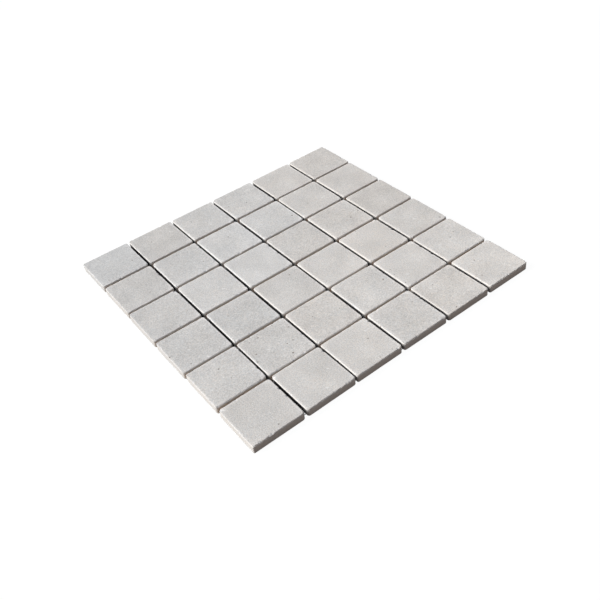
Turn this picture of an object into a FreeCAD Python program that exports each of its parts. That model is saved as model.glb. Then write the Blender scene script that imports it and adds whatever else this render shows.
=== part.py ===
"""Mosaic sheet of square tumbled stone tiles, glued by their backs to a glass-fibre net.

Frame: millimetres, +Z up. The origin is the centre of the sheet's back, in the plane of the
net's underside. Rows are numbered along X and columns along Y. The sheet lies flat, faces up.
"""
import FreeCAD, Part

import math
import os
import random

from FreeCAD import Vector

# Layout of the sheet
ROWS = 6
COLUMNS = 6
JOINT_WIDTH = 2.0          # open joint between two neighbouring tiles

# One tile
TILE_SIDE = 48.0
TILE_THICKNESS = 7.5
CORNER_RADIUS = 2.2        # rounding of the four upright corners, seen from above
FACE_ARRIS_RADIUS = 0.7    # rounding of the arris round the face
BACK_ARRIS_RADIUS = 0.5    # rounding of the arris round the back

# Tumbling wears every tile a little differently, and no tile is set on the net quite true
SIDE_SPREAD = 0.25         # most that a tile's side departs from TILE_SIDE
CORNER_SPREAD = 0.5        # most that a corner's radius departs from CORNER_RADIUS
ARRIS_SPREAD = 0.15        # most that a face arris departs from FACE_ARRIS_RADIUS
TURN_SPREAD = 0.35         # most that a tile is turned, in degrees
SHIFT_SPREAD = 0.35        # most that a tile is off its place, along X and along Y
WEAR_SEED = 2199

# Glass-fibre net on the backs
STRAND_PITCH = 10.0        # from one strand to the next, both ways
STRAND_WIDTH = 1.1
NET_THICKNESS = 0.5
NET_INSET = 2.0            # from the tiles' outer sides to the trimmed ends of the strands

TILE_PITCH = TILE_SIDE + JOINT_WIDTH
SHEET_LENGTH_X = ROWS * TILE_PITCH - JOINT_WIDTH
SHEET_LENGTH_Y = COLUMNS * TILE_PITCH - JOINT_WIDTH


def centred_row(count, pitch):
    """Positions of count things, one pitch apart, about zero."""
    return [(index - (count - 1) / 2) * pitch for index in range(count)]


def rounded_square(side, radii):
    """Closed wire about the origin. radii are the corners', counter-clockwise from +X +Y."""
    half = side / 2
    arcs = []
    for quarter, radius in enumerate(radii):
        turn = FreeCAD.Rotation(Vector(0, 0, 1), 90 * quarter)
        bulge = radius * (1 - math.sqrt(0.5))
        start = turn.multVec(Vector(half, half - radius, 0))
        middle = turn.multVec(Vector(half - bulge, half - bulge, 0))
        end = turn.multVec(Vector(half - radius, half, 0))
        arcs.append(Part.Arc(start, middle, end))
    edges = []
    for arc, following in zip(arcs, arcs[1:] + arcs[:1]):
        edges.append(arc.toShape())
        edges.append(Part.LineSegment(arc.EndPoint, following.StartPoint).toShape())
    return Part.Wire(edges)


def edges_at_height(solid, height):
    """The solid's edges that lie in the level plane at this height."""
    return [
        edge
        for edge in solid.Edges
        if abs(edge.BoundBox.ZMin - height) < 1e-6 and abs(edge.BoundBox.ZMax - height) < 1e-6
    ]


def tumbled_tile(wear):
    """One tile set near the Z axis, its back in the plane of the net's top."""
    side = TILE_SIDE + wear.uniform(-SIDE_SPREAD, SIDE_SPREAD)
    radii = [CORNER_RADIUS + wear.uniform(-CORNER_SPREAD, CORNER_SPREAD) for _ in range(4)]
    face_arris = FACE_ARRIS_RADIUS + wear.uniform(-ARRIS_SPREAD, ARRIS_SPREAD)
    turn = wear.uniform(-TURN_SPREAD, TURN_SPREAD)
    shift_x = wear.uniform(-SHIFT_SPREAD, SHIFT_SPREAD)
    shift_y = wear.uniform(-SHIFT_SPREAD, SHIFT_SPREAD)

    blank = Part.Face(rounded_square(side, radii)).extrude(Vector(0, 0, TILE_THICKNESS))
    worn = blank.makeFillet(face_arris, edges_at_height(blank, TILE_THICKNESS))
    worn = worn.makeFillet(BACK_ARRIS_RADIUS, edges_at_height(worn, 0))
    worn.rotate(Vector(0, 0, 0), Vector(0, 0, 1), turn)
    worn.translate(Vector(shift_x, shift_y, NET_THICKNESS))
    return worn


def tiles():
    """Every tile in its place, by node name."""
    placed = {}
    for row, x in enumerate(centred_row(ROWS, TILE_PITCH), start=1):
        for column, y in enumerate(centred_row(COLUMNS, TILE_PITCH), start=1):
            tile = tumbled_tile(random.Random(WEAR_SEED * row + column))
            tile.translate(Vector(x, y, 0))
            placed[f"tile_r{row}_c{column}"] = tile
    return placed


def strand_lines(length):
    """Centre lines of the strands across a sheet of this length, and its trimmed half length."""
    half = length / 2 - NET_INSET
    count = int((2 * half - STRAND_WIDTH) / STRAND_PITCH) + 1
    return centred_row(count, STRAND_PITCH), half


def halves(length):
    """The strand lines on each side of the net's middle, each with the span that holds them."""
    lines, half = strand_lines(length)
    split = len(lines) // 2
    seam = (lines[split - 1] + lines[split]) / 2
    return (lines[:split], -half, seam), (lines[split:], seam, half)


def net_quarter(x_half, y_half):
    """Crossing strands over one quarter of the sheet, fused where they cross."""
    x_lines, x_low, x_high = x_half
    y_lines, y_low, y_high = y_half
    edge_offset = STRAND_WIDTH / 2
    along_y = [
        Part.makePlane(STRAND_WIDTH, y_high - y_low, Vector(x - edge_offset, y_low, 0))
        for x in x_lines
    ]
    along_x = [
        Part.makePlane(x_high - x_low, STRAND_WIDTH, Vector(x_low, y - edge_offset, 0))
        for y in y_lines
    ]
    outlines = along_y + along_x
    grid = outlines[0].multiFuse(outlines[1:]).removeSplitter()
    return grid.Faces[0].extrude(Vector(0, 0, NET_THICKNESS))


def backing_net():
    """The net in four quarters that meet face to face, by node name."""
    left, right = halves(SHEET_LENGTH_X)
    front, back = halves(SHEET_LENGTH_Y)
    return {
        "backing_net_front_left": net_quarter(left, front),
        "backing_net_front_right": net_quarter(right, front),
        "backing_net_back_left": net_quarter(left, back),
        "backing_net_back_right": net_quarter(right, back),
    }


def main():
    os.makedirs("parts", exist_ok=True)
    for name, shape in {**tiles(), **backing_net()}.items():
        solids = shape.Solids
        if len(solids) != 1 or not shape.isValid():
            raise RuntimeError(f"{name} is not one valid solid")
        solids[0].exportStep(f"parts/{name}.step")
        print(name, round(solids[0].Volume, 1))


main()
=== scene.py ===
"""Dresses the mosaic sheet: tumbled stone tiles with worn, chipped arrises and their own grain,
on a woven net of glass yarns, lit by a low key light from the front left."""

import math
import random
from itertools import product

import bpy
import numpy as np
from mathutils import Matrix, Vector


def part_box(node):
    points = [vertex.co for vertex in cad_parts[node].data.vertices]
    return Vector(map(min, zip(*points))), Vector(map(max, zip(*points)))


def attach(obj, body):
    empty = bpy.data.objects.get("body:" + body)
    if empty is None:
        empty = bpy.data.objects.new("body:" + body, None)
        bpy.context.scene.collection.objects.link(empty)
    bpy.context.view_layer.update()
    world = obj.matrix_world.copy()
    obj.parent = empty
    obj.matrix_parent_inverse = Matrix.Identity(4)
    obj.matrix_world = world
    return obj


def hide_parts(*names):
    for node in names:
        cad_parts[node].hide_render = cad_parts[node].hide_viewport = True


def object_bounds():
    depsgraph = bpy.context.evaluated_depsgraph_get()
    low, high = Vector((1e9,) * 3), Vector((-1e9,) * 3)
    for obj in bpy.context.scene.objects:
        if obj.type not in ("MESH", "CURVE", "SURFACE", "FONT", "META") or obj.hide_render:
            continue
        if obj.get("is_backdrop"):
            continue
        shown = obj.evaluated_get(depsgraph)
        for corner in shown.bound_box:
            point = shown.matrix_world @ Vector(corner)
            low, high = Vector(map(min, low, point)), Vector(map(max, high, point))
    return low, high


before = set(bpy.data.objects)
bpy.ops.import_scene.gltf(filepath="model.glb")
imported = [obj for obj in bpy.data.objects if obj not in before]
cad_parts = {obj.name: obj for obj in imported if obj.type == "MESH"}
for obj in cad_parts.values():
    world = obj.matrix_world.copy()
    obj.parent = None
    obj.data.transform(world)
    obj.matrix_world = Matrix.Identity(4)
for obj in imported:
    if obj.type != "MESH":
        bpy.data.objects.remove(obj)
cad_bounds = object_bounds()

MM = 0.001

# Sizes that the tiles share with their solids
ROWS = 6
COLUMNS = 6
TILE_SIDE = 48 * MM
CORNER_RADIUS = 2.2 * MM
FACE_ARRIS_RADIUS = 0.7 * MM
BACK_ARRIS_RADIUS = 0.5 * MM
SIDE_SPREAD = 0.25 * MM
CORNER_SPREAD = 0.5 * MM
ARRIS_SPREAD = 0.15 * MM
TURN_SPREAD = 0.35         # degrees
WEAR_SEED = 2199

MIDDLE_ROW = (ROWS + 1) / 2
MIDDLE_COLUMN = (COLUMNS + 1) / 2

# The sheet's front corner is hardly worn: its tile, which of the tile's corners it is,
# counted counter-clockwise from the one at +X +Y as 0, and its radius
CRISP_TILE = "tile_r6_c1"
CRISP_CORNER = 3
CRISP_RADIUS = 1.3 * MM

# Mesh of one tile: its rings are finest round the face's arris
RIM_CELLS = 112            # along each side of the finest rings
CORNER_CELLS = 6           # of them, in each half of a corner's round
COARSEST = 4               # fine cells in one cell of the rings that edge the face and the back
# Rings of the face: how far inside its arris, and fine cells in one cell
FACE_MARGINS = ((3.6 * MM, COARSEST), (2.1 * MM, 2), (1.1 * MM, 1), (0.45 * MM, 1))
BACK_MARGIN = 1.6 * MM
INNER_CORNER = 0.8 * MM    # smallest corner radius of a ring inside the arris
FACE_ARC_STEPS = 6
SIDE_STEPS = 6
BACK_ARC_STEPS = 3
GRID_CELLS = RIM_CELLS // COARSEST     # across the grids that fill the face and the back

# Wear, always inwards from the solid's surface. Four values are for +X, -X, +Y and -Y, and a
# value named SIZE is that of the wear's unevenness.
ARRIS_WEAR = (0.42 * MM, 0.12 * MM, 0.03 * MM, 0.18 * MM)
ARRIS_WEAR_SIZE = 3.5 * MM
CORNER_WEAR = 0.08 * MM
CORNER_WEAR_LENGTH = 3 * MM
CORNER_SIDE_WEAR = 0.3     # share of it on the sides, below the arris
FACE_ROLL = 0.07 * MM      # how far the face has sunk at its arris
FACE_ROLL_LENGTH = 3.2 * MM
FACE_ROLL_SIZE = 11 * MM
SIDE_WEAR = (0.17 * MM, 0.24 * MM, 0.01 * MM, 0.12 * MM)
SIDE_WEAR_LEAN = 0.09 * MM  # more of it for each row towards -X, at the joints along Y
SIDE_WAVE = (0.12 * MM, 0.12 * MM, 0.05 * MM, 0.12 * MM)
SIDE_WAVE_SIZE = 14 * MM
FACE_WAVE = 0.05 * MM
FACE_WAVE_SIZE = 9 * MM
ROUGHNESS_HEIGHT = 0.03 * MM
ROUGHNESS_SIZE = 1.3 * MM
FACE_ROUGHNESS = 0.2       # share of it on the face
PALE_RIM = 1.8 * MM        # how far the paler rim reaches into the face, partly bruised stone and partly painted highlight
PALE_AND_HIGHLIGHT_GAIN = (0.11, 0.19, 0.23, 0.22)
OUTER_PALENESS = 0.3       # share of it that the arrises on the sheet's border have
RIM_CHANGE = 0.3           # share of the roll and of the paleness that changes along the rim
SIDE_CONTRAST = 24         # how sharply one side's value gives way to the next at a corner
LEAST_WEIGHT = 0.01        # of a side, before that sharpening
SQUARENESS = 8             # of the lines of equal distance from the tile's middle

# Hollows knocked into the arris: least and most on a tile, half of their length, and depth
NICKS = (9, 16)
NICK_LENGTH = (0.3 * MM, 0.9 * MM)
NICK_DEPTH = (0.08 * MM, 0.28 * MM)
CHIPS = (5, 9)
EDGE_CHIPS = (2, 4)        # more of them, on the arris that faces +X
EDGE_START = 3 * RIM_CELLS  # where that arris starts in the rim
CHIP_LENGTH = (0.7 * MM, 2.0 * MM)
CHIP_DEPTH = (0.25 * MM, 0.75 * MM)
CORNER_CHIP_CHANCE = 0.4
CORNER_CHIP_DEPTH = (0.5 * MM, 1.1 * MM)
KNOCK_LEAN = (15, 60)      # degrees from straight up

# Painted shade in the joints: dark on the sides that face along Y, warm brown on those that face along X.
# Two lengths are where it starts and where it is full.
JOINT_SHADE_DEPTH = (1.0 * MM, 1.5 * MM)     # below the face, on the sides that face along Y
WARM_JOINT_SHADE_DEPTH = (1.5 * MM, 2.1 * MM)      # below the face, on the sides that face along X
BORDER_REACH = (2.1 * MM, 5.1 * MM)    # from the sheet's border
JOINT_SHADE_CORNER_REACH = (3 * MM, 6 * MM)  # from the tile's corner
CORNER_JOINT_SHADE = 0.6         # share of the painted joint shade that is left at the tile's corner

NOISE_CELLS = 16           # before the noise repeats

# Colour of the tiles from one to the next
QUARRY_SEED = 28768
TONE_SEED = 391980
WARMTH_SEED = 85008
WARMTH = 0.398
WARMTH_SPREAD = 0.148
WARMTH_LEAN = (0.0372, 0.0526)         # warmer for each tile towards +X and +Y
TONE_LEAN = (0.124, -0.264)            # and brighter, or darker where it is below zero
PITTING = 0.05             # share of the cells of stone that have a pit
PITTED_TILE = "tile_r5_c2"
PITTED_PITTING = 0.5


def mesh_object(name, vertices, faces):
    """A smooth-shaded mesh object from vertices and faces."""
    mesh = bpy.data.meshes.new(name)
    mesh.from_pydata(vertices.tolist(), [], faces)
    mesh.shade_smooth()
    made = bpy.data.objects.new(name, mesh)
    bpy.context.scene.collection.objects.link(made)
    return made


def smooth_noise(points, size, seed):
    """Noise from -1 to 1 at the points, with features of this size."""
    lattice = np.random.default_rng(seed).uniform(-1, 1, (NOISE_CELLS,) * 3)
    scaled = points / size
    cell = np.floor(scaled).astype(int)
    share = scaled - cell
    share = share * share * (3 - 2 * share)
    total = np.zeros(len(points))
    for step in product((0, 1), repeat=3):
        corner = (cell + step) % NOISE_CELLS
        weight = np.prod(np.where(step, share, 1 - share), axis=1)
        total += weight * lattice[corner[:, 0], corner[:, 1], corner[:, 2]]
    return total


def noise_share(points, size, seed):
    """The same noise, from 0 to 1."""
    return 0.5 + 0.5 * smooth_noise(points, size, seed)


def outline(side, radii):
    """Points round a rounded square and their outward directions, counter-clockwise.

    They start half-way round the corner at +X +Y. radii are the corners', in the same order.
    """
    half = side / 2
    round_shares = np.arange(CORNER_CELLS) / CORNER_CELLS
    straight_cells = RIM_CELLS - 2 * CORNER_CELLS
    straight_shares = np.arange(straight_cells) / straight_cells
    angles = np.radians(np.concatenate((
        45 + 45 * round_shares, np.full(straight_cells, 90), 90 + 45 * round_shares,
    )))
    leaning = np.column_stack((np.cos(angles), np.sin(angles)))
    points = []
    directions = []
    for quarter in range(4):
        first, last = radii[quarter], radii[(quarter + 1) % 4]
        radius = np.repeat((first, 0, last), (CORNER_CELLS, straight_cells, CORNER_CELLS))
        straight = (half - first) * (1 - straight_shares) + (last - half) * straight_shares
        centre_x = np.concatenate((
            np.full(CORNER_CELLS, half - first), straight, np.full(CORNER_CELLS, last - half),
        ))
        centres = np.column_stack((centre_x, half - radius))
        turn = np.array(Matrix.Rotation(quarter * math.pi / 2, 2)).T
        points.append((centres + radius[:, None] * leaning) @ turn)
        directions.append(leaning @ turn)
    return np.vstack(points), np.vstack(directions)


def profile(face_arris, thickness):
    """Rings from the face down to the back: each (inset, height, angle from +Z, coarseness)."""
    rings = [(face_arris + margin, thickness, 0.0, step) for margin, step in FACE_MARGINS]
    for index in range(FACE_ARC_STEPS + 1):
        angle = math.radians(90 * index / FACE_ARC_STEPS)
        inset = face_arris * (1 - math.sin(angle))
        rings.append((inset, thickness - face_arris * (1 - math.cos(angle)), angle, 1))
    for index in range(1, SIDE_STEPS):
        share = index / SIDE_STEPS
        height = (thickness - face_arris) * (1 - share) + BACK_ARRIS_RADIUS * share
        rings.append((0.0, height, math.pi / 2, 1 if share < 0.5 else 2))
    for index in range(BACK_ARC_STEPS + 1):
        angle = math.radians(90 + 90 * index / BACK_ARC_STEPS)
        inset = BACK_ARRIS_RADIUS * (1 - math.sin(angle))
        rings.append((inset, BACK_ARRIS_RADIUS * (1 + math.cos(angle)), angle, 2))
    rings.append((BACK_ARRIS_RADIUS + BACK_MARGIN, 0.0, math.pi, COARSEST))
    return rings


def grid_place(column, row):
    """(share of the way out, place round the rim in cells) of a point of the face's grid."""
    middle = GRID_CELLS // 2
    x, y = column - middle, row - middle
    level = max(abs(x), abs(y))
    if level == 0:
        return 0.0, 0.0
    if y == level and x > -level:
        side, along = 0, level - x
    elif x == -level and y > -level:
        side, along = 1, level - y
    elif y == -level and x < level:
        side, along = 2, x + level
    else:
        side, along = 3, y + level
    return level / middle, (side + along / (2 * level)) * GRID_CELLS


GRID_PLACES = [[grid_place(c, r) for c in range(GRID_CELLS + 1)] for r in range(GRID_CELLS + 1)]


class TileSurface:
    """Vertices, directions and faces of one tile, before it is worn."""

    def __init__(self, side, radii, face_arris, thickness):
        self.side = side
        self.face_arris = face_arris
        self.thickness = thickness
        self.rim, self.outward = outline(side, radii)
        self.faces = []
        self.parts = []
        self.count = 0
        rings = [self.ring(radii, *ring) for ring in profile(face_arris, thickness)]
        for upper, lower in zip(rings, rings[1:]):
            self.join(upper, lower)
        self.close(rings[0], thickness, 0.0)
        self.close(rings[-1], 0.0, math.pi)
        self.positions = np.vstack([positions for positions, _, _ in self.parts])
        self.directions = np.vstack([directions for _, directions, _ in self.parts])
        self.angles = np.concatenate([angles for _, _, angles in self.parts])
        self.on_side = np.sin(self.angles) ** 2
        self.to_corner = np.linalg.norm(side / 2 - np.abs(self.positions[:, :2]), axis=1)

    def add(self, positions, directions, angle):
        """Keeps a group of vertices and returns their numbers."""
        first = self.count
        self.count += len(positions)
        self.parts.append((positions, directions, np.full(len(positions), angle)))
        return list(range(first, self.count))

    def ring(self, radii, inset, height, angle, step):
        """One ring round the tile, as vertex numbers."""
        inner_radii = [max(radius - inset, INNER_CORNER) for radius in radii]
        around, outward = outline(self.side - 2 * inset, inner_radii)
        around, outward = around[::step], outward[::step]
        positions = np.column_stack((around, np.full(len(around), height)))
        upright = np.full(len(around), math.cos(angle))
        return self.add(positions, np.column_stack((outward * math.sin(angle), upright)), angle)

    def join(self, upper, lower):
        """Faces between two rings. One of them may have twice as many points as the other."""
        cells = min(len(upper), len(lower))
        upper_step, lower_step = len(upper) // cells, len(lower) // cells
        for cell in range(cells):
            top = [upper[(cell * upper_step + i) % len(upper)] for i in range(upper_step + 1)]
            bottom = [lower[(cell * lower_step + i) % len(lower)] for i in range(lower_step + 1)]
            self.faces.append(top[::-1] + bottom)

    def close(self, ring, height, angle):
        """Fills the face or the back with a grid inside its ring."""
        edge = np.vstack([positions for positions, _, _ in self.parts])[ring][:, :2]
        looped = np.vstack((edge, edge[:1]))
        corners = {}
        inside = []
        for row, column in product(range(GRID_CELLS + 1), repeat=2):
            share, place = GRID_PLACES[row][column]
            if share == 1.0:
                corners[row, column] = ring[round(place) % len(ring)]
                continue
            low = int(place)
            point = looped[low] + (looped[low + 1] - looped[low]) * (place - low)
            corners[row, column] = self.count + len(inside)
            inside.append((*(share * point), height))
        facing = np.tile((0.0, 0.0, math.cos(angle)), (len(inside), 1))
        self.add(np.array(inside), facing, angle)
        for row, column in product(range(GRID_CELLS), repeat=2):
            quad = [
                corners[row, column], corners[row, column + 1],
                corners[row + 1, column + 1], corners[row + 1, column],
            ]
            self.faces.append(quad if angle == 0.0 else quad[::-1])


def by_side(surface, values):
    """The values for +X, -X, +Y and -Y, each where the surface lies towards that side."""
    place = surface.positions[:, :2] / (surface.side / 2)
    reach = np.maximum(np.abs(place).max(axis=1), LEAST_WEIGHT)
    towards = np.column_stack((place, -place))[:, (0, 2, 1, 3)] / reach[:, None]
    weights = np.clip(towards, LEAST_WEIGHT, 1) ** SIDE_CONTRAST
    return weights @ np.array(values) / weights.sum(axis=1)


def knock(points, surface, wear, size, first, last):
    """Cuts one shallow hollow into the arris of the face, and says how deep it went where.

    It lies somewhere round the rim, at or after the first place and before the last. size is half
    of its length, and its depth.
    """
    length, deep = size
    place = wear.randrange(first, last)
    lean = math.radians(wear.uniform(*KNOCK_LEAN))
    out = np.array((*surface.outward[place], 0.0))
    up = np.array((0.0, 0.0, 1.0))
    facing = out * math.sin(lean) + up * math.cos(lean)
    along = np.cross(up, out)
    arris = surface.face_arris
    centre = np.array((*surface.rim[place], surface.thickness - arris)) - out * arris
    centre = centre + facing * arris
    offset = points - centre
    sideways = (offset @ along) / length
    over = offset @ facing + deep * (1 - sideways ** 2)
    cut = np.where((np.abs(sideways) < 1) & (over > 0), over, 0)
    points -= facing * cut[:, None]
    return np.clip(cut / deep, 0, 1)


def knock_about(points, surface, wear):
    """Cuts the tile's nicks and chips, and says how deep they went where."""
    rim_end = len(surface.rim)
    lost = np.zeros(len(points))
    for count, lengths, depths, first in (
        (NICKS, NICK_LENGTH, NICK_DEPTH, 0),
        (CHIPS, CHIP_LENGTH, CHIP_DEPTH, 0),
        (EDGE_CHIPS, CHIP_LENGTH, CHIP_DEPTH, EDGE_START),
    ):
        for _ in range(wear.randint(*count)):
            size = wear.uniform(*lengths), wear.uniform(*depths)
            lost = np.maximum(lost, knock(points, surface, wear, size, first, rim_end))
    if wear.random() < CORNER_CHIP_CHANCE:
        corner = wear.randrange(4) * RIM_CELLS
        size = wear.uniform(*CHIP_LENGTH), wear.uniform(*CORNER_CHIP_DEPTH)
        chip = knock(points, surface, wear, size, corner, corner + CORNER_CELLS)
        lost = np.maximum(lost, chip)
    return lost


def worn(surface, wear, side_wear, seed):
    """The surface's vertices after tumbling, how pale its rim is, partly bruising and partly painted
    highlight, and where it is chipped.
    """
    points = surface.positions.copy()
    upper_angle = np.clip(surface.angles, 0, math.pi / 2)
    on_top = surface.angles < math.pi / 2
    on_arris = np.sin(2 * upper_angle)
    on_side = surface.on_side
    on_face = np.cos(upper_angle) ** 2

    near_corner = np.clip(1 - surface.to_corner / CORNER_WEAR_LENGTH, 0, 1) ** 2
    out = (np.abs(points[:, :2]) ** SQUARENESS).sum(axis=1) ** (1 / SQUARENESS)
    from_arris = np.clip(surface.side / 2 - surface.face_arris - out, 0, None)
    inside = np.minimum(from_arris, FACE_ROLL_LENGTH) / FACE_ROLL_LENGTH
    rim = np.clip(1 - from_arris / PALE_RIM, 0, 1) * on_top

    ragged = noise_share(points, ARRIS_WEAR_SIZE, seed)
    depth = by_side(surface, ARRIS_WEAR) * on_arris * ragged
    depth += CORNER_WEAR * near_corner * (on_arris + CORNER_SIDE_WEAR * on_side)
    roll = 1 - RIM_CHANGE + RIM_CHANGE * smooth_noise(points, FACE_ROLL_SIZE, seed + 4)
    depth += FACE_ROLL * on_face * (1 - inside) ** 2 * roll
    wave = noise_share(points, SIDE_WAVE_SIZE, seed + 1)
    depth += on_side * (by_side(surface, side_wear) + by_side(surface, SIDE_WAVE) * wave)
    depth += FACE_WAVE * (1 - on_side) * noise_share(points, FACE_WAVE_SIZE, seed + 2)
    rough = FACE_ROUGHNESS + (1 - FACE_ROUGHNESS) * np.maximum(on_side, on_arris)
    depth += ROUGHNESS_HEIGHT * rough * noise_share(points, ROUGHNESS_SIZE, seed + 3)
    points -= surface.directions * depth[:, None]

    chipped = knock_about(points, surface, wear)
    # the paler rim is partly bruised stone and partly painted highlight, with a gain for each side
    pale = rim * (1 - RIM_CHANGE + RIM_CHANGE * ragged) * by_side(surface, PALE_AND_HIGHLIGHT_GAIN)
    return points, pale, chipped


def sides_wear(row):
    """The wear of the four sides of a tile in this row."""
    values = np.array(SIDE_WEAR)
    lean = SIDE_WEAR_LEAN * (MIDDLE_ROW - row)
    if row < ROWS:
        values[0] += lean
    if row > 1:
        values[1] += lean
    return values.clip(0)


def look_of_place(node, row, column):
    """Place in the quarry's block, tone, warmth and pitting of the tile in this row and column."""
    quarry = random.Random(QUARRY_SEED * row + column)
    block = np.array([quarry.uniform(0, 1) for _ in range(3)])
    rows_on, columns_on = row - MIDDLE_ROW, column - MIDDLE_COLUMN
    tone = random.Random(TONE_SEED * row + column).uniform(-1, 1)
    tone += TONE_LEAN[0] * rows_on + TONE_LEAN[1] * columns_on
    warmth_draw = random.Random(WARMTH_SEED * row + column).uniform(-WARMTH_SPREAD, WARMTH_SPREAD)
    warmth = WARMTH + warmth_draw + WARMTH_LEAN[0] * rows_on + WARMTH_LEAN[1] * columns_on
    return block, tone, warmth, PITTED_PITTING if node == PITTED_TILE else PITTING


def painted_shade(surface, points, placed):
    """Painted shade of each vertex, deep in the joints and at the foot, and how far it is from the sheet's
    border.
    """
    sheet_low, sheet_high = np.array(cad_bounds)
    to_border = np.minimum(placed - sheet_low, sheet_high - placed)
    between_rows = np.interp(to_border[:, 0], BORDER_REACH, (0, 1))
    between_columns = np.interp(to_border[:, 1], BORDER_REACH, (0, 1))
    facing_x, facing_y = surface.directions[:, 0] ** 2, surface.directions[:, 1] ** 2
    below = surface.thickness - points[:, 2]
    # painted shade deep in the joints: dark on the sides that face along Y, warm brown on those that face
    # along X
    joint_shade = between_columns * facing_y * np.interp(below, JOINT_SHADE_DEPTH, (0, 1))
    joint_shade *= np.interp(surface.to_corner, JOINT_SHADE_CORNER_REACH, (CORNER_JOINT_SHADE, 1))
    warm_joint_shade = between_rows * facing_x * np.interp(below, WARM_JOINT_SHADE_DEPTH, (0, 1))
    # painted shade, darker towards the foot of the sides that face along X
    foot = facing_x * (below / surface.thickness) ** 2
    return joint_shade, warm_joint_shade, foot, np.minimum(between_rows, between_columns)


def point_attribute(mesh, name, values):
    """Stores one number or vector for each vertex of the mesh."""
    kind, key = ("FLOAT_VECTOR", "vector") if values.ndim == 2 else ("FLOAT", "value")
    attribute = mesh.attributes.new(name, kind, "POINT")
    attribute.data.foreach_set(key, values.astype(np.float32).ravel())


def stone_tile(node, stone):
    """The worn stone tile that stands for the CAD node of this name."""
    row, column = (int(part[1:]) for part in node.split("_")[1:])
    seed = WEAR_SEED * row + column
    wear = random.Random(seed)
    side = TILE_SIDE + wear.uniform(-SIDE_SPREAD, SIDE_SPREAD)
    radii = [CORNER_RADIUS + wear.uniform(-CORNER_SPREAD, CORNER_SPREAD) for _ in range(4)]
    face_arris = FACE_ARRIS_RADIUS + wear.uniform(-ARRIS_SPREAD, ARRIS_SPREAD)
    turn = math.radians(wear.uniform(-TURN_SPREAD, TURN_SPREAD))
    if node == CRISP_TILE:
        radii[CRISP_CORNER] = CRISP_RADIUS

    low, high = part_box(node)
    surface = TileSurface(side, radii, face_arris, high.z - low.z)
    points, pale, chipped = worn(surface, wear, sides_wear(row), seed * 10)
    place = Matrix.Translation(((low.x + high.x) / 2, (low.y + high.y) / 2, low.z))
    place = np.array(place @ Matrix.Rotation(turn, 4, "Z"))
    placed = points @ place[:3, :3].T + place[:3, 3]
    piece = mesh_object(f"stone_{node}", placed, surface.faces)

    block, tone, warmth, pitting = look_of_place(node, row, column)
    joint_shade, warm_joint_shade, foot, between = painted_shade(surface, points, placed)
    for name, values in {
        "stone_place": points + block,
        "tile_tone": np.full(len(points), tone),
        "tile_warmth": np.full(len(points), warmth),
        "pitting": np.full(len(points), pitting),
        "pale": pale * (OUTER_PALENESS + (1 - OUTER_PALENESS) * between),
        "chipped": chipped,
        "side": surface.on_side,
        "joint_shade": joint_shade,
        "warm_joint_shade": warm_joint_shade,
        "foot": foot,
    }.items():
        point_attribute(piece.data, name, values)
    piece.data.materials.append(stone)
    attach(piece, "root")
    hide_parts(node)
    return piece


# Net: flat yarns along X, held between pairs of yarns along Y that cross between them
STRAND_PITCH = 10 * MM
NET_THICKNESS = 0.5 * MM
NET_MIDDLE = NET_THICKNESS / 2
YARN_SIDES = 6
YARN_UNEVENNESS = 0.08     # of its width
WEFT_WIDTH = 1.0 * MM
WEFT_THICKNESS = 0.16 * MM
WEFT_POINTS = 2            # for each cell of the net
WARP_WIDTH = 0.5 * MM
WARP_THICKNESS = 0.15 * MM
WARP_POINTS = 4
WARP_RISE = 0.165 * MM     # above or below the net's middle, where it passes a weft
WARP_CROSSING_RISE = 0.08 * MM         # and where the two of a pair cross
WARP_SWAY = 0.22 * MM      # to one side of the strand's line, where it passes a weft
WARP_SEED = 100


def yarn(path, across, width, thickness, seed):
    """Vertices and faces of a flat yarn along a path, closed at its cut ends.

    across is square to the path, and to its left.
    """
    count = len(path)
    angles = np.arange(YARN_SIDES) * 2 * math.pi / YARN_SIDES
    uneven = 1 - YARN_UNEVENNESS * np.random.default_rng(seed).uniform(0, 1, count)
    breadths = across * (width / 2 * uneven)[:, None, None]
    rings = path[:, None, :] + breadths * np.cos(angles)[None, :, None]
    rings = rings + np.array((0, 0, thickness / 2)) * np.sin(angles)[None, :, None]
    faces = []
    for ring in range(count - 1):
        low, high = ring * YARN_SIDES, (ring + 1) * YARN_SIDES
        for side in range(YARN_SIDES):
            after = (side + 1) % YARN_SIDES
            faces.append([low + side, low + after, high + after, high + side])
    faces.append(list(range(YARN_SIDES))[::-1])
    faces.append([(count - 1) * YARN_SIDES + side for side in range(YARN_SIDES)])
    return rings.reshape(-1, 3), faces


def strand_lines(low, high):
    """Centre lines of the strands across the net, as many as its solid has."""
    count = int((high - low) / STRAND_PITCH) + 1
    return (np.arange(count) - (count - 1) / 2) * STRAND_PITCH


def along_strand(low, high, points_per_cell, lines):
    """Places along a strand: its cut ends, and even steps between them that fall on the lines."""
    step = STRAND_PITCH / points_per_cell
    places = np.arange(lines[0] - STRAND_PITCH, lines[-1] + STRAND_PITCH, step)
    between = places[(places > low + step / 4) & (places < high - step / 4)]
    return np.concatenate(([low], between, [high]))


def wefts(x_places, y_lines):
    """The single yarns along X."""
    across = np.array((0.0, 1.0, 0.0))
    for index, y in enumerate(y_lines):
        level = np.full(len(x_places), NET_MIDDLE)
        path = np.column_stack((x_places, np.full(len(x_places), y), level))
        yield yarn(path, across, WEFT_WIDTH, WEFT_THICKNESS, index)


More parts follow.
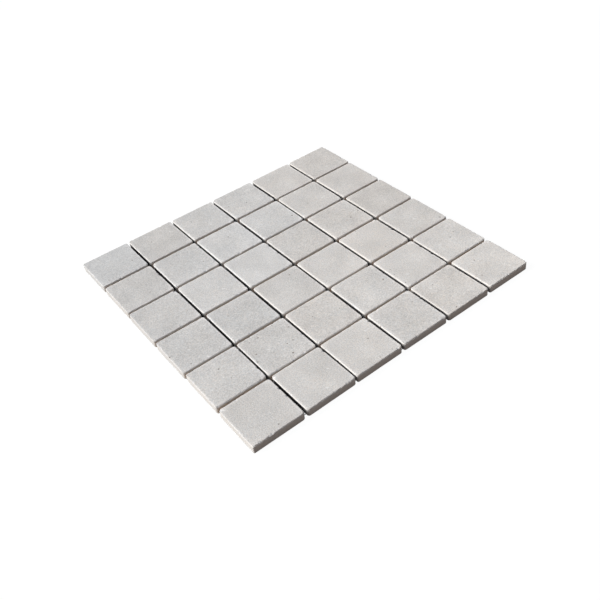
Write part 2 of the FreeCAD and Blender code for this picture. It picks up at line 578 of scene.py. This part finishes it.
def warps(y_places, x_lines, y_lines):
    """The yarns along Y, in pairs that cross between the wefts and pass them on both sides."""
    across = np.array((-1.0, 0.0, 0.0))
    at_weft = np.cos((y_places - y_lines[0]) / STRAND_PITCH * math.pi)
    for index, x in enumerate(x_lines):
        for hand in (1, -1):
            sway = hand * WARP_SWAY * at_weft
            rise = hand * (WARP_CROSSING_RISE + (WARP_RISE - WARP_CROSSING_RISE) * at_weft ** 2)
            path = np.column_stack((x + sway, y_places, NET_MIDDLE + rise))
            yield yarn(path, across, WARP_WIDTH, WARP_THICKNESS, WARP_SEED + 2 * index + hand)


def backing_net(material):
    """The woven net, as one piece that stands for the four quarters of its solid."""
    quarters = [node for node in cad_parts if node.startswith("backing_net_")]
    boxes = [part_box(node) for node in quarters]
    low = [min(box[0][axis] for box in boxes) for axis in range(2)]
    high = [max(box[1][axis] for box in boxes) for axis in range(2)]
    x_lines, y_lines = strand_lines(low[0], high[0]), strand_lines(low[1], high[1])
    x_places = along_strand(low[0], high[0], WEFT_POINTS, x_lines)
    y_places = along_strand(low[1], high[1], WARP_POINTS, y_lines)

    vertices = []
    faces = []
    start = 0
    for points, yarn_faces in (*wefts(x_places, y_lines), *warps(y_places, x_lines, y_lines)):
        vertices.append(points)
        faces.extend([corner + start for corner in face] for face in yarn_faces)
        start += len(points)
    piece = mesh_object("backing_net", np.vstack(vertices), faces)
    piece.data.materials.append(material)
    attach(piece, "root")
    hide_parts(*quarters)
    return piece


# The noise texture keeps mostly between these values, about 0.5
NOISE_LOW, NOISE_HIGH = 0.3, 0.7


class Nodes:
    """Short ways to add and join the nodes of one material or world."""

    def __init__(self, owner):
        owner.use_nodes = True
        self.tree = owner.node_tree
        self.tree.nodes.clear()

    def add(self, kind, inputs=None, **settings):
        """A node with these settings. inputs gives its sockets values or other nodes' outputs."""
        node = self.tree.nodes.new(kind)
        for name, value in settings.items():
            setattr(node, name, value)
        for name, value in (inputs or {}).items():
            if isinstance(value, bpy.types.NodeSocket):
                self.tree.links.new(value, node.inputs[name])
            else:
                node.inputs[name].default_value = value
        return node

    def math(self, operation, *values, clamp=False):
        """One operation on the values."""
        node = self.add("ShaderNodeMath", dict(enumerate(values)), operation=operation)
        node.use_clamp = clamp
        return node.outputs[0]

    def attribute(self, name, output="Fac"):
        """What the mesh stores for each vertex under this name."""
        return self.add("ShaderNodeAttribute", attribute_name=name).outputs[output]

    def noise(self, vector, size, detail=2.0, roughness=0.5):
        """Noise about 0.5, with features of this size."""
        return self.add("ShaderNodeTexNoise", {
            "Vector": vector, "Scale": 1 / size, "Detail": detail, "Roughness": roughness,
        }).outputs["Fac"]

    def swing(self, noise, strength):
        """How far the noise is from 0.5, times the strength."""
        return self.math("MULTIPLY", self.math("SUBTRACT", noise, 0.5), strength)

    def remap(self, value, low, high, to_low, to_high):
        """The value taken from one span to another, and kept inside it."""
        node = self.add("ShaderNodeMapRange", {
            "Value": value, "From Min": low, "From Max": high, "To Min": to_low, "To Max": to_high,
        })
        return node.outputs["Result"]

    def mix(self, factor, first, second, blend="MIX"):
        """The first colour, blended with the second by the factor."""
        node = self.add("ShaderNodeMix", data_type="RGBA", blend_type=blend)
        for socket, value in ((0, factor), (6, first), (7, second)):
            if isinstance(value, bpy.types.NodeSocket):
                self.tree.links.new(value, node.inputs[socket])
            else:
                node.inputs[socket].default_value = value
        return node.outputs[2]

    def grey(self, level):
        """The level as a colour."""
        channels = {"Red": level, "Green": level, "Blue": level}
        return self.add("ShaderNodeCombineColor", channels).outputs[0]

    def turned(self, vector, turn):
        """The vector turned about Z."""
        return self.add("ShaderNodeMapping", {"Vector": vector, "Rotation": (0, 0, turn)}).outputs[0]

    def stretched(self, vector, scale, turn):
        """The vector turned about Z and then scaled, for features that are longer one way."""
        turned = self.turned(vector, turn)
        return self.add("ShaderNodeMapping", {"Vector": turned, "Scale": scale}).outputs[0]

    def spots(self, vector, cells, density, size, softness, channel):
        """1 inside scattered round spots.

        There are so many cells to a metre. The density says how many of them have a spot, size is
        the largest spot's radius and softness the width of its edge, as shares of a cell, and
        each channel gives other spots.
        """
        texture = self.add("ShaderNodeTexVoronoi", {"Vector": vector, "Scale": cells}).outputs
        chance = self.add("ShaderNodeSeparateColor", {"Color": texture["Color"]}).outputs[channel]
        least = self.math("SUBTRACT", 1.0, density)
        reach = self.remap(chance, least, 1.0, 0.0, size)
        left = self.math("SUBTRACT", reach, texture["Distance"])
        return self.math("DIVIDE", left, softness, clamp=True)


# How much the stone's brightness varies, at each size of feature
GRAIN = ((30 * MM, 0.18), (16 * MM, 0.14), (8 * MM, 0.03), (4 * MM, 0.06), (2 * MM, 0.06))
FINE_GRAIN_SIZE = 1.0 * MM
FINE_GRAIN = 0.95
SIDE_CALM = 0.65           # how much fainter the grain is on the sides
TONE_SPREAD = 0.055        # from one tile to the next

# Faint brushed streaks, only in patches
STREAKS = 0.12
STREAK_SIZE = 1.5 * MM
STREAK_STRETCH = (1.0, 0.25, 1.0)
STREAK_TURN = 0.2
STREAK_PATCH_SIZE = 30 * MM
STREAK_PATCH_NOISE = (0.45, 0.6)       # of the patches' noise, where streaks start and are full

# How much the stone's warmth varies: size of feature, and reach to each side
CLOUD_SIZE, CLOUD = 20 * MM, 0.10
TINT_SIZE, TINT = 1.6 * MM, 0.30
TINT_TURN = 0.9

# Spots in the stone, as Nodes.spots takes them, and how strongly they colour it
PITS = {"cells": 260.0, "size": 0.26, "softness": 0.06, "channel": 0}
PIT_STRENGTH = 0.8
FLECKS = {"cells": 230.0, "density": 0.30, "size": 0.24, "softness": 0.10, "channel": 1}
FLECK_STRETCH = (1.0, 0.5, 1.0)
FLECK_TURN = 0.7
FLECK_STRENGTH = 0.55
DUST = {"cells": 620.0, "density": 0.35, "size": 0.35, "softness": 0.2, "channel": 2}
DUST_STRENGTH = 0.10

# The stone's surface
RELIEF_SIZE = 1.2 * MM
RELIEF_HEIGHT = 0.12 * MM
SIDE_RELIEF = 0.4          # strength of the relief on the sides
PIT_DEPTH = 1.5            # times the relief's height
STONE_ROUGHNESS = (0.62, 0.78)         # of its gloss: low in the relief and high in it
STONE_DIFFUSE_ROUGHNESS = 0.25
STONE_SPECULAR = 0.25

COOL_STONE = (0.584, 0.579, 0.566, 1)
WARM_STONE = (0.636, 0.585, 0.529, 1)
FRESH_STONE = (0.60, 0.61, 0.625, 1)   # where it is chipped
FRESHNESS = 0.6            # of the deepest part of a chip
SPECK = (0.20, 0.165, 0.140, 1)        # in the pits and the finest dust
FLECK = (0.86, 0.85, 0.83, 1)
# The stone's colour is multiplied by these painted shades: at the foot of the sides that face along X, and
# warm and dark deep in the joints
FOOT_SHADE = (0.80, 0.77, 0.74, 1)
JOINT_SHADE = (0.08, 0.08, 0.09, 1)
WARM_JOINT_SHADE = (0.96, 0.83, 0.72, 1)


def stone_level(n, place, side):
    """Brightness of the stone from place to place, about 1, with the pale rim's painted highlight."""
    shades = [n.swing(n.noise(place, size, detail=0), strength) for size, strength in GRAIN]
    fine = n.noise(place, FINE_GRAIN_SIZE, detail=1.5, roughness=0.6)
    shades.append(n.swing(fine, FINE_GRAIN))
    brushed = n.noise(n.stretched(place, STREAK_STRETCH, STREAK_TURN), STREAK_SIZE, detail=0)
    patches = n.noise(place, STREAK_PATCH_SIZE, detail=0)
    shades.append(n.swing(brushed, n.remap(patches, *STREAK_PATCH_NOISE, 0.0, STREAKS)))
    shade = shades[0]
    for more in shades[1:]:
        shade = n.math("ADD", shade, more)
    shade = n.math("MULTIPLY", shade, n.remap(side, 0.0, 1.0, 1.0, 1.0 - SIDE_CALM))
    shade = n.math("ADD", shade, n.math("MULTIPLY", n.attribute("tile_tone"), TONE_SPREAD))
    # paler rim: partly bruised stone, partly painted highlight
    shade = n.math("ADD", shade, n.attribute("pale"))
    return n.math("ADD", shade, 1.0)


def stone_colour(n, place, side, pit):
    """Colour of the stone with its chips, painted shade and spots."""
    cloud = n.remap(n.noise(place, CLOUD_SIZE, detail=3), NOISE_LOW, NOISE_HIGH, -CLOUD, CLOUD)
    tint = n.noise(n.turned(place, TINT_TURN), TINT_SIZE)
    tint = n.remap(tint, NOISE_LOW, NOISE_HIGH, -TINT, TINT)
    warm = n.math("ADD", n.math("ADD", n.attribute("tile_warmth"), cloud), tint, clamp=True)
    colour = n.mix(warm, COOL_STONE, WARM_STONE)
    fresh = n.math("MULTIPLY", n.attribute("chipped"), FRESHNESS)
    colour = n.mix(fresh, colour, FRESH_STONE)
    colour = n.mix(1.0, colour, n.grey(stone_level(n, place, side)), "MULTIPLY")
    # painted shade at the foot of the sides and deep in the joints
    for name, shade in (("foot", FOOT_SHADE), ("warm_joint_shade", WARM_JOINT_SHADE), ("joint_shade", JOINT_SHADE)):
        colour = n.mix(n.attribute(name), colour, shade, "MULTIPLY")

    fleck = n.spots(n.stretched(place, FLECK_STRETCH, FLECK_TURN), **FLECKS)
    dust = n.spots(place, **DUST)
    colour = n.mix(n.math("MULTIPLY", pit, PIT_STRENGTH), colour, SPECK)
    colour = n.mix(n.math("MULTIPLY", fleck, FLECK_STRENGTH), colour, FLECK)
    return n.mix(n.math("MULTIPLY", dust, DUST_STRENGTH), colour, SPECK)


def stone_material():
    """Fine-grained limestone: faint clouds, fine grain, a few dark pits and pale flecks."""
    material = bpy.data.materials.new("tumbled_stone")
    n = Nodes(material)
    place = n.attribute("stone_place", "Vector")
    side = n.attribute("side")
    pit = n.spots(place, density=n.attribute("pitting"), **PITS)
    relief = n.noise(place, RELIEF_SIZE, roughness=0.6)
    bump = n.add("ShaderNodeBump", {
        "Height": n.math("SUBTRACT", relief, n.math("MULTIPLY", pit, PIT_DEPTH)),
        "Distance": RELIEF_HEIGHT,
        "Strength": n.remap(side, 0.0, 1.0, 1.0, SIDE_RELIEF),
    })
    shader = n.add("ShaderNodeBsdfPrincipled", {
        "Base Color": stone_colour(n, place, side, pit),
        "Roughness": n.remap(relief, NOISE_LOW, NOISE_HIGH, *STONE_ROUGHNESS),
        "Normal": bump.outputs[0],
        "Specular IOR Level": STONE_SPECULAR,
        "Diffuse Roughness": STONE_DIFFUSE_ROUGHNESS,
    })
    n.add("ShaderNodeOutputMaterial", {"Surface": shader.outputs[0]})
    return material


# The net's yarns, of glass fibres
FIBRE_SIZE = 0.4 * MM
FIBRE_RELIEF = 0.1 * MM
FIBRE_SHADE = (0.52, 0.53, 0.51, 1)
FIBRE_LIGHT = (0.76, 0.76, 0.74, 1)
FIBRE_ROUGHNESS = 0.4


def net_material():
    """Glass yarns in a satin resin coat."""
    material = bpy.data.materials.new("glass_fibre_net")
    n = Nodes(material)
    place = n.add("ShaderNodeTexCoord").outputs["Object"]
    strands = n.noise(place, FIBRE_SIZE, detail=1)
    bump = n.add("ShaderNodeBump", {"Height": strands, "Distance": FIBRE_RELIEF})
    shader = n.add("ShaderNodeBsdfPrincipled", {
        "Base Color": n.mix(strands, FIBRE_SHADE, FIBRE_LIGHT),
        "Roughness": FIBRE_ROUGHNESS,
        "Normal": bump.outputs[0],
    })
    n.add("ShaderNodeOutputMaterial", {"Surface": shader.outputs[0]})
    return material


# Staging. The floor is seen as a white glow over a dark colour, which keeps a pale shadow, and
# its light on the sides is that of its bounce colour.
WHITE = (1, 1, 1, 1)
FLOOR_SIZE = 6.0
FLOOR_SEEN_GLOW = 0.965
FLOOR_SEEN_COLOUR = (0.05, 0.05, 0.05, 1)
# Under the sheet the glow is gone and the floor is dark: painted shade, seen through the joints.
FLOOR_GLOW_INSET = (8 * MM, 4 * MM)    # inside the sheet's border, where the glow starts and is full
FLOOR_BOUNCE_COLOUR = (0.12, 0.085, 0.060, 1)
KEY_STRENGTH = 4.55
KEY_ELEVATION = 33.0       # degrees, as the next two
KEY_TURN = 25.0            # from -Y towards -X
KEY_WIDTH = 35.0           # across, for soft shadows
SKY = (0.17, 0.20, 0.245, 1)
HORIZON = (0.204, 0.148, 0.105, 1)
SKY_HEIGHT = 0.8           # upward share of a direction from which on the light is all SKY
REFLECTOR_GAIN = 1.1       # how much brighter the light is from straight along +X


def seen_directly(n):
    """1 for rays from the camera and for those that gloss or glass sends on, else 0."""
    ray = n.add("ShaderNodeLightPath").outputs
    seen = n.math("ADD", ray["Is Camera Ray"], ray["Is Glossy Ray"])
    return n.math("ADD", seen, ray["Is Transmission Ray"], clamp=True)


def add_floor():
    """A plain white floor that keeps a pale shadow, painted dark under the sheet as shade, and lights the
    sides as a matt brown one.
    """
    half = FLOOR_SIZE / 2
    corners = np.array([(-half, -half, 0), (half, -half, 0), (half, half, 0), (-half, half, 0)])
    floor = mesh_object("floor", corners, [(0, 1, 2, 3)])
    material = bpy.data.materials.new("floor")
    n = Nodes(material)
    place = n.add("ShaderNodeSeparateXYZ", {0: n.add("ShaderNodeTexCoord").outputs["Object"]}).outputs
    reach = n.math("MAXIMUM", n.math("ABSOLUTE", place["X"]), n.math("ABSOLUTE", place["Y"]))
    starts, full = (cad_bounds[1].x - inset for inset in FLOOR_GLOW_INSET)
    # no glow under the sheet: the floor there is painted dark as shade
    glow_level = n.remap(reach, starts, full, 0, FLOOR_SEEN_GLOW)
    glow = n.add("ShaderNodeEmission", {"Color": WHITE, "Strength": glow_level})
    shaded = n.add("ShaderNodeBsdfDiffuse", {"Color": FLOOR_SEEN_COLOUR})
    seen = n.add("ShaderNodeAddShader", {0: glow.outputs[0], 1: shaded.outputs[0]})
    bounce = n.add("ShaderNodeBsdfDiffuse", {"Color": FLOOR_BOUNCE_COLOUR})
    surface = n.add("ShaderNodeMixShader", {0: seen_directly(n), 1: bounce.outputs[0], 2: seen.outputs[0]})
    n.add("ShaderNodeOutputMaterial", {"Surface": surface.outputs[0]})
    floor.data.materials.append(material)
    floor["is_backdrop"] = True


def add_world():
    """White where it is seen, and a dim cool sky over a warm horizon as light."""
    world = bpy.data.worlds.new("studio")
    bpy.context.scene.world = world
    n = Nodes(world)
    way = n.add("ShaderNodeSeparateXYZ", {0: n.add("ShaderNodeTexCoord").outputs["Generated"]}).outputs
    light = n.mix(n.remap(way["Z"], 0.0, SKY_HEIGHT, 0.0, 1.0), HORIZON, SKY)
    gain = n.remap(way["X"], 0.0, 1.0, 1.0, 1.0 + REFLECTOR_GAIN)
    light = n.mix(1.0, light, n.grey(gain), "MULTIPLY")
    background = n.add("ShaderNodeBackground", {"Color": n.mix(seen_directly(n), light, WHITE)})
    n.add("ShaderNodeOutputWorld", {"Surface": background.outputs[0]})


def add_key_light():
    """A low key light from the front left: it lights the -Y sides and leaves the +X sides in shade."""
    light = bpy.data.lights.new("key", "SUN")
    light.energy = KEY_STRENGTH
    light.angle = math.radians(KEY_WIDTH)
    key = bpy.data.objects.new("key", light)
    bpy.context.scene.collection.objects.link(key)
    elevation, turn = math.radians(KEY_ELEVATION), math.radians(KEY_TURN)
    towards = Vector((
        -math.sin(turn) * math.cos(elevation), -math.cos(turn) * math.cos(elevation), math.sin(elevation),
    ))
    key.rotation_mode = "QUATERNION"
    key.rotation_quaternion = towards.to_track_quat("Z", "Y")


# Camera, worked out from the lines of joints and the outline in the photograph
CAMERA_PLACE = Vector((468.2, -278.0, 435.8)) * MM
CAMERA_AIM = Vector((63.46, -11.65, 10.0)) * MM
CAMERA_ROLL = -7.65        # degrees
CAMERA_LENS = 44.58
CAMERA_SHIFT = -0.045
SENSOR_WIDTH = 36.0


def add_camera():
    """The camera at the photograph's viewing angle."""
    data = bpy.data.cameras.new("camera")
    data.lens = CAMERA_LENS
    data.sensor_width = SENSOR_WIDTH
    data.shift_x = CAMERA_SHIFT
    data.clip_start = 0.01
    data.clip_end = 50
    camera = bpy.data.objects.new("camera", data)
    bpy.context.scene.collection.objects.link(camera)
    look = (CAMERA_AIM - CAMERA_PLACE).to_track_quat("-Z", "Y").to_matrix().to_4x4()
    roll = Matrix.Rotation(math.radians(CAMERA_ROLL), 4, "Z")
    camera.matrix_world = Matrix.Translation(CAMERA_PLACE) @ look @ roll
    bpy.context.scene.camera = camera


def write_sizes():
    """Works out the CAD's box and the dressed model's box, and keeps neither."""
    boxes = {"cad": cad_bounds, "dressed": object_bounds()}
    {name: [list(corner) for corner in box] for name, box in boxes.items()}


add_camera()
add_key_light()
add_world()
add_floor()
bpy.context.scene.view_settings.view_transform = "Standard"

stone = stone_material()
for node in sorted(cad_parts):
    if node.startswith("tile_"):
        stone_tile(node, stone)
backing_net(net_material())

write_sizes()
